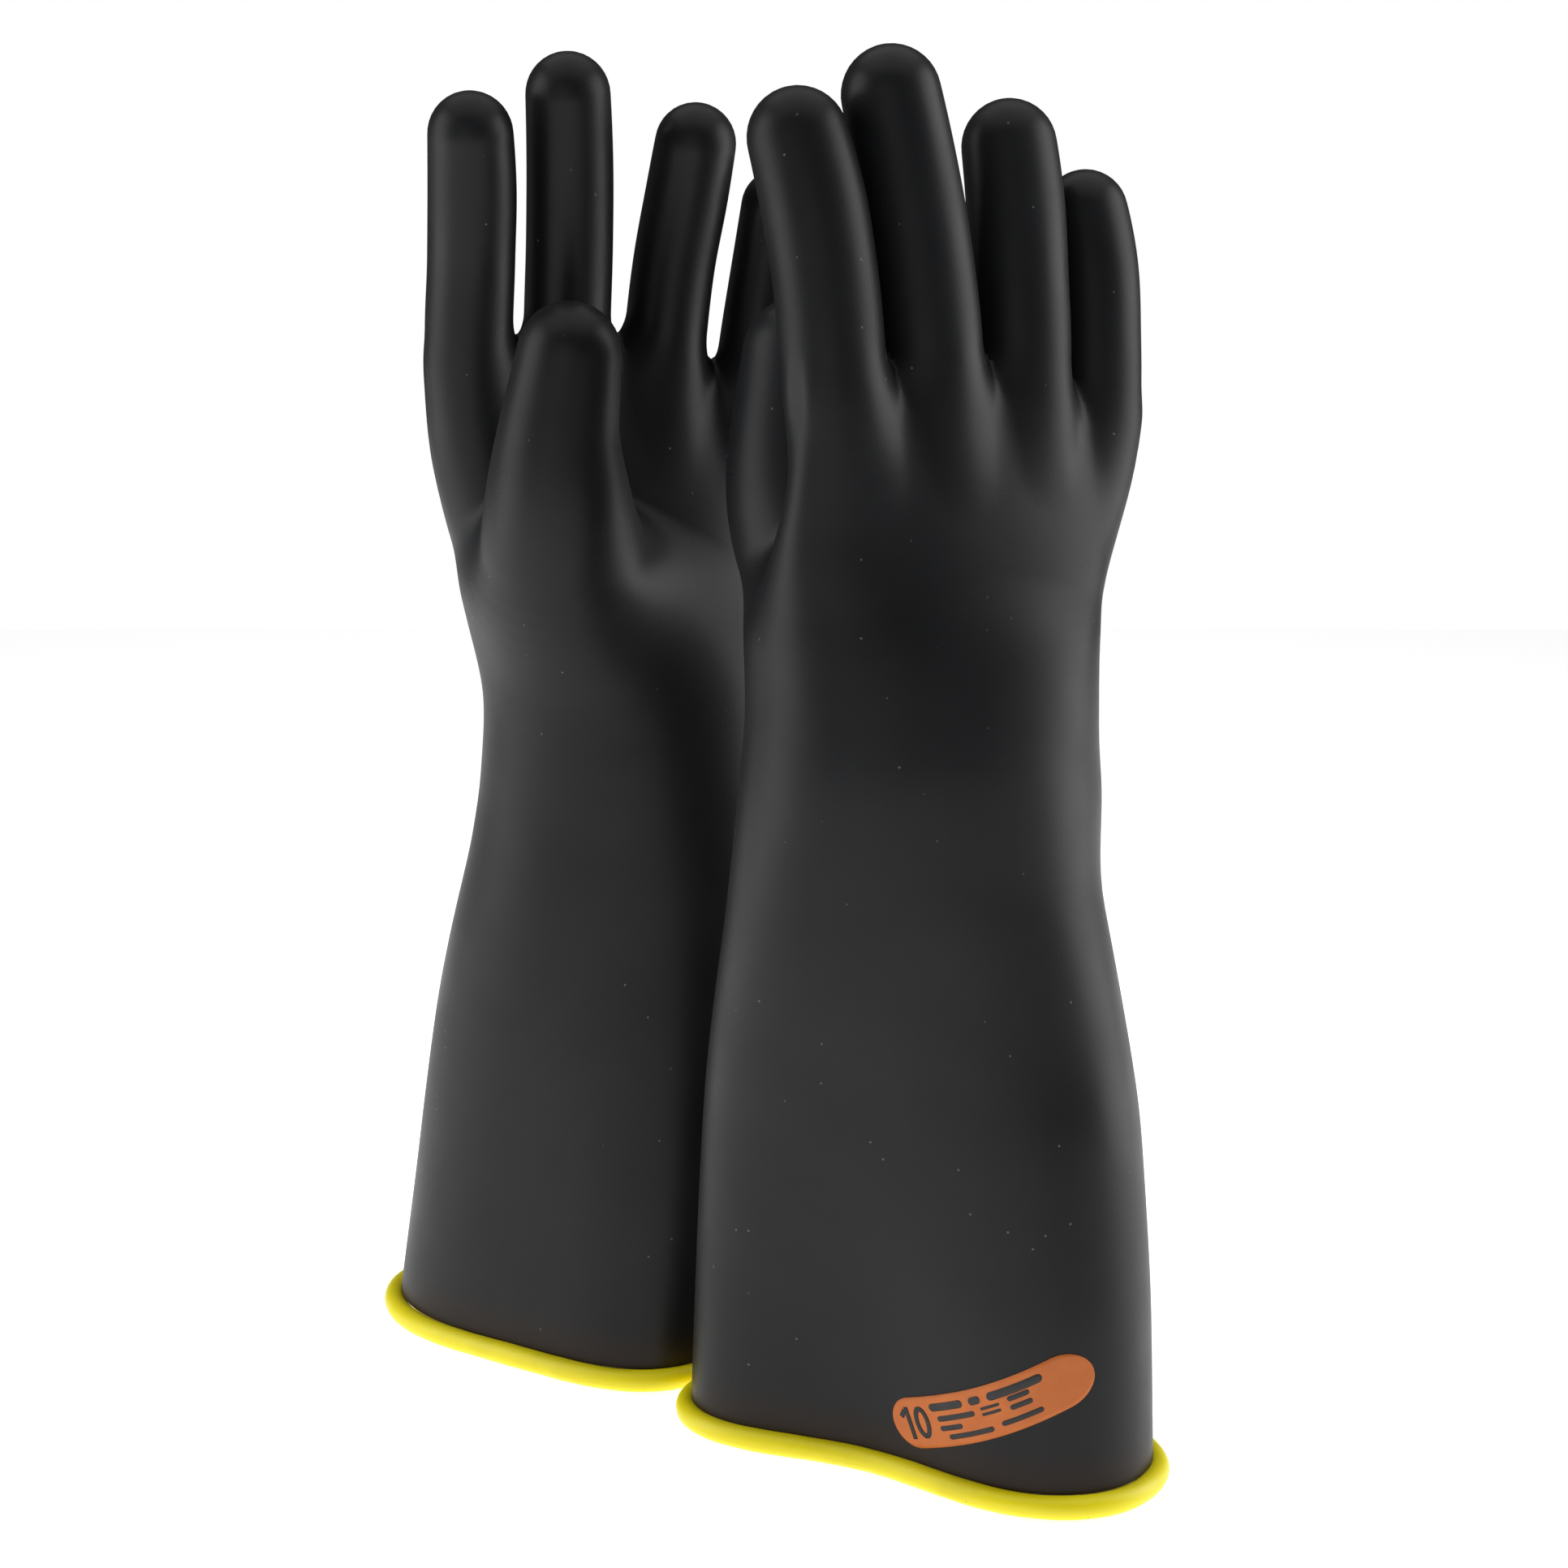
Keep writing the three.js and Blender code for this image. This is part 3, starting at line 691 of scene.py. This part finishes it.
class Nodes:
    """A material's node tree, with short ways to add and link nodes."""

    def __init__(self, name):
        self.material = bpy.data.materials.new(name)
        self.material.use_nodes = True
        self.tree = self.material.node_tree
        self.shader = next(n for n in self.tree.nodes if n.type == "BSDF_PRINCIPLED")
        place = self.add("ShaderNodeAttribute")
        place.attribute_name = "rest"
        self.place = place.outputs["Vector"]

    def add(self, kind, **settings):
        node = self.tree.nodes.new(kind)
        for key, value in settings.items():
            if key in node.inputs:
                node.inputs[key].default_value = value
            else:
                setattr(node, key, value)
        return node

    def link(self, source, target):
        self.tree.links.new(source, target)

    def stretched(self, scale):
        node = self.add("ShaderNodeVectorMath", operation="MULTIPLY")
        node.inputs[1].default_value = scale
        self.link(self.place, node.inputs[0])
        return node.outputs[0]

    def noise(self, scale, detail=3.0, stretch=(1, 1, 1)):
        node = self.add("ShaderNodeTexNoise", Scale=scale, Detail=detail)
        self.link(self.stretched(stretch), node.inputs["Vector"])
        return node.outputs["Fac"]

    def ramp(self, source, low, high, to_low=0.0, to_high=1.0):
        node = self.add("ShaderNodeMapRange", clamp=True)
        for key, value in zip(("From Min", "From Max", "To Min", "To Max"), (low, high, to_low, to_high)):
            node.inputs[key].default_value = value
        self.link(source, node.inputs["Value"])
        return node.outputs["Result"]

    def mix(self, share, a, b):
        node = self.add("ShaderNodeMix", data_type="RGBA")
        self.link(share, node.inputs["Factor"])
        for value, socket in ((a, node.inputs[6]), (b, node.inputs[7])):
            if isinstance(value, tuple):
                socket.default_value = (*value, 1)
            else:
                self.link(value, socket)
        return node.outputs[2]

    def bump(self, heights, distance):
        """Adds bumps one after another: heights is a list of (socket, strength)."""
        normal = None
        for height, strength in heights:
            node = self.add("ShaderNodeBump", Strength=strength, Distance=distance)
            self.link(height, node.inputs["Height"])
            if normal is not None:
                self.link(normal, node.inputs["Normal"])
            normal = node.outputs["Normal"]
        self.link(normal, self.shader.inputs["Normal"])

    def specks(self, scale, size):
        """1 on sparse dots, which are cells' centres, and 0 elsewhere."""
        node = self.add("ShaderNodeTexVoronoi", Scale=scale)
        self.link(self.place, node.inputs["Vector"])
        dot = self.ramp(node.outputs["Distance"], size, size * 0.5)
        chance = self.add("ShaderNodeSeparateColor")
        self.link(node.outputs["Color"], chance.inputs[0])
        few = self.ramp(chance.outputs[0], 0.93, 0.94)
        both = self.add("ShaderNodeMath", operation="MULTIPLY")
        self.link(dot, both.inputs[0])
        self.link(few, both.inputs[1])
        return both.outputs[0]

    def set(self, **values):
        for key, value in values.items():
            self.shader.inputs[key.replace("_", " ")].default_value = value


def black_rubber():
    """Satin dipped rubber: cloudy near-black, faint runs from the dipping, a few dust specks, and a warm
    brown towards the foot that is partly painted bounce light from the yellow bead and partly the yellow ply
    showing through the thin skin.
    """
    n = Nodes("black_rubber")
    clouds = n.ramp(n.noise(14, 4), 0.35, 0.65)
    cool = n.mix(clouds, (0.0068, 0.0070, 0.0078), (0.0108, 0.0114, 0.0128))
    runs = n.ramp(n.noise(60, 3, stretch=(1, 1, 0.12)), 0.55, 0.8, 0, 0.5)
    runny = n.mix(runs, cool, (0.0118, 0.0106, 0.0092))
    dusty = n.mix(n.ramp(n.specks(260, 0.12), 0, 1, 0, 0.6), runny, (0.20, 0.19, 0.17))
    height = n.add("ShaderNodeSeparateXYZ")
    n.link(n.place, height.inputs[0])
    # Painted bounce light: the skin turns warm brown from 22 mm down to the bead, standing in for the yellow
    # bead's light on the black, partly the yellow ply tinting through.
    bead_bounce_and_tint = n.ramp(height.outputs["Z"], 0.022, 0.0075, 0, 0.85)
    n.link(n.mix(bead_bounce_and_tint, dusty, (0.020, 0.009, 0.003)), n.shader.inputs["Base Color"])
    n.link(n.ramp(n.noise(30, 3), 0.3, 0.7, 0.38, 0.47), n.shader.inputs["Roughness"])
    n.bump([(n.noise(45, 2), 0.10), (n.noise(1400, 2), 0.05)], 0.0006)
    n.set(Specular_IOR_Level=0.24)
    return n.material


def yellow_rubber():
    """The bright bead: satin yellow, a little olive in places, with small rolling marks."""
    n = Nodes("yellow_rubber")
    olive = n.ramp(n.noise(38, 4), 0.5, 0.75, 0, 0.55)
    colour = n.mix(olive, (0.93, 0.80, 0.002), (0.66, 0.56, 0.004))
    n.link(n.mix(n.specks(320, 0.1), colour, (0.3, 0.25, 0.03)), n.shader.inputs["Base Color"])
    n.link(n.ramp(n.noise(60, 3), 0.3, 0.7, 0.38, 0.52), n.shader.inputs["Roughness"])
    n.bump([(n.noise(90, 3), 0.25), (n.noise(900, 2), 0.06)], 0.0006)
    return n.material


def label_orange():
    """The bonded patch: matt orange with a faint grain."""
    n = Nodes("label_orange")
    colour = n.mix(n.ramp(n.noise(120, 4), 0.35, 0.7), (0.60, 0.150, 0.020), (0.54, 0.128, 0.016))
    n.link(colour, n.shader.inputs["Base Color"])
    n.link(n.ramp(n.noise(200, 3), 0.3, 0.7, 0.5, 0.62), n.shader.inputs["Roughness"])
    n.bump([(n.noise(1100, 2), 0.06)], 0.0004)
    return n.material


def print_black():
    n = Nodes("print_black")
    worn = n.ramp(n.noise(500, 3), 0.62, 0.75, 0, 0.35)
    n.link(n.mix(worn, (0.016, 0.015, 0.015), (0.10, 0.04, 0.015)), n.shader.inputs["Base Color"])
    n.link(n.ramp(n.noise(300, 2), 0.3, 0.7, 0.5, 0.6), n.shader.inputs["Roughness"])
    return n.material


def pale_floor():
    n = Nodes("pale_floor")
    n.link(n.mix(n.noise(3, 2), (0.88, 0.88, 0.88), (0.91, 0.91, 0.91)), n.shader.inputs["Base Color"])
    n.set(Roughness=0.8, Specular_IOR_Level=0.2, Emission_Color=(1, 1, 1, 1), Emission_Strength=0.8)
    return n.material


# ---- building one glove ----


def prepare(side, glove):
    """Works out a glove's tables, centre lines, seams and reach."""
    glove["table"] = section_table(glove)
    glove["chains"], glove["seams"] = {}, {}
    for name, digit in DIGITS.items():
        rows = hand_to_pair(glove, digit["rows"])
        rows[:, 3] *= glove["girth"]
        chain = smooth_chain(rows)
        glove["chains"][name] = chain
        i = int(np.argmax(chain[:, 2] >= digit["flex_height"]))
        along = chain[i + 1, :3] - chain[i - 1, :3]
        along /= np.linalg.norm(along)
        centre = chain[i - 1, :3] + along * (digit["flex_height"] - chain[i - 1, 2]) / along[2]
        glove["seams"][name] = {
            "along": along,
            "seam": centre - along * digit["below"],
            "end": centre + along * digit["above"],
            "axis": np.array(hinge_axis[f"{side}_{name}"]),
        }
    nodes = [name for name in frame["nodes"] if name.startswith(side)]
    corners = np.array([list(corner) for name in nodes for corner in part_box(name)]) / MM - shift
    glove["reach"] = corners.min(0), corners.max(0)


def glove_ply(side, glove, ply, spacing, depth, thickness, material, slot):
    """The pieces of one ply: the gauntlet with the hand, and each digit."""
    layer = {"skin": "outer", "lining": "inner"}[ply]
    points, faces = hand_surface(glove, depth, spacing)
    points, faces = cut_at_seams(glove, points, faces.tolist())
    piece = ply_piece(f"{side}_{ply}", glove, points, faces, depth, thickness, material, slot)
    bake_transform(piece)
    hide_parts(f"{side}_{layer}_gauntlet", f"{side}_{layer}_hand")
    for name, seam in glove["seams"].items():
        points, faces = digit_surface(glove, name, depth)
        piece = ply_piece(f"{side}_{name}_{ply}", glove, points, faces, depth, thickness, material, slot)
        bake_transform(piece)
        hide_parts(f"{side}_{layer}_{name}")


# ---- the scene round it ----

FLOOR_REACH = 1.6  # metres from the middle of the floor to its edges
CAMERA = {"distance": 1006.75, "height": 437.2, "down": 12.03, "lens": 75.04, "sensor": 36.0}


def add_camera():
    data = bpy.data.cameras.new("camera")
    data.lens, data.sensor_width = CAMERA["lens"], CAMERA["sensor"]
    camera = bpy.data.objects.new("camera", data)
    camera.location = (np.array([0, -CAMERA["distance"], CAMERA["height"]]) + shift) * MM
    camera.rotation_euler = (math.radians(90 - CAMERA["down"]), 0, 0)
    bpy.context.scene.collection.objects.link(camera)
    bpy.context.scene.camera = camera


def add_area(name, place, size, power, aim=(0, 0, 0.25)):
    data = bpy.data.lights.new(name, "AREA")
    data.shape, data.size, data.size_y, data.energy = "RECTANGLE", size[0], size[1], power
    light = bpy.data.objects.new(name, data)
    light.location = place
    light.rotation_euler = (Vector(aim) - Vector(place)).to_track_quat("-Z", "Y").to_euler()
    bpy.context.scene.collection.objects.link(light)


def add_stage():
    mesh = bpy.data.meshes.new("floor")
    reach = FLOOR_REACH
    corners = [(-reach, -reach, 0), (reach, -reach, 0), (reach, reach, 0), (-reach, reach, 0)]
    mesh.from_pydata(corners, [], [(0, 1, 2, 3)])
    mesh.materials.append(pale_floor())
    floor = bpy.data.objects.new("floor", mesh)
    bpy.context.scene.collection.objects.link(floor)
    world = bpy.data.worlds.new("studio")
    world.use_nodes = True
    tree = world.node_tree
    background = tree.nodes["Background"]
    path = tree.nodes.new("ShaderNodeLightPath")
    strength = tree.nodes.new("ShaderNodeMapRange")
    strength.inputs["To Min"].default_value = 0.05
    strength.inputs["To Max"].default_value = 1.0
    tree.links.new(path.outputs["Is Camera Ray"], strength.inputs["Value"])
    tree.links.new(strength.outputs["Result"], background.inputs["Strength"])
    background.inputs["Color"].default_value = (1, 1, 1, 1)
    bpy.context.scene.world = world
    add_area("left_softbox", (-0.95, -0.1, 0.45), (0.7, 1.2), 6)
    add_area("right_softbox", (0.95, 0.1, 0.45), (0.7, 1.2), 8)
    add_area("top_softbox", (0, 0.1, 1.6), (2.0, 2.0), 11)
    add_area("front_fill", (-0.3, -1.4, 0.5), (1.0, 1.0), 1.5)
    bpy.context.scene.view_settings.view_transform = "Standard"


wrist_at = {joint["child"]: joint["pos_m"] for joint in frame["joints"] if "pos_m" in joint}
hinge_axis = {joint["child"]: joint["axis"] for joint in frame["joints"]}
row_at_wrist = next(row for row in GLOVES["right"]["sections"] if row[0] == WRIST_HEIGHT)
shift = np.array(wrist_at["right_hand"]) / MM - np.array([row_at_wrist[1], row_at_wrist[2], WRIST_HEIGHT])

add_camera()
add_stage()
rubber, yellow, orange, ink = black_rubber(), yellow_rubber(), label_orange(), print_black()
for side, glove in GLOVES.items():
    prepare(side, glove)
    glove_ply(side, glove, "skin", GRID, 0.0, OUTER_PLY, rubber, "black_rubber")
    glove_ply(side, glove, "lining", GRID_LINING, OUTER_PLY + PLY_GAP, INNER_PLY, yellow, "yellow_rubber")
    bead_piece(side, glove, yellow)
    label_pieces(side, glove, orange, ink)
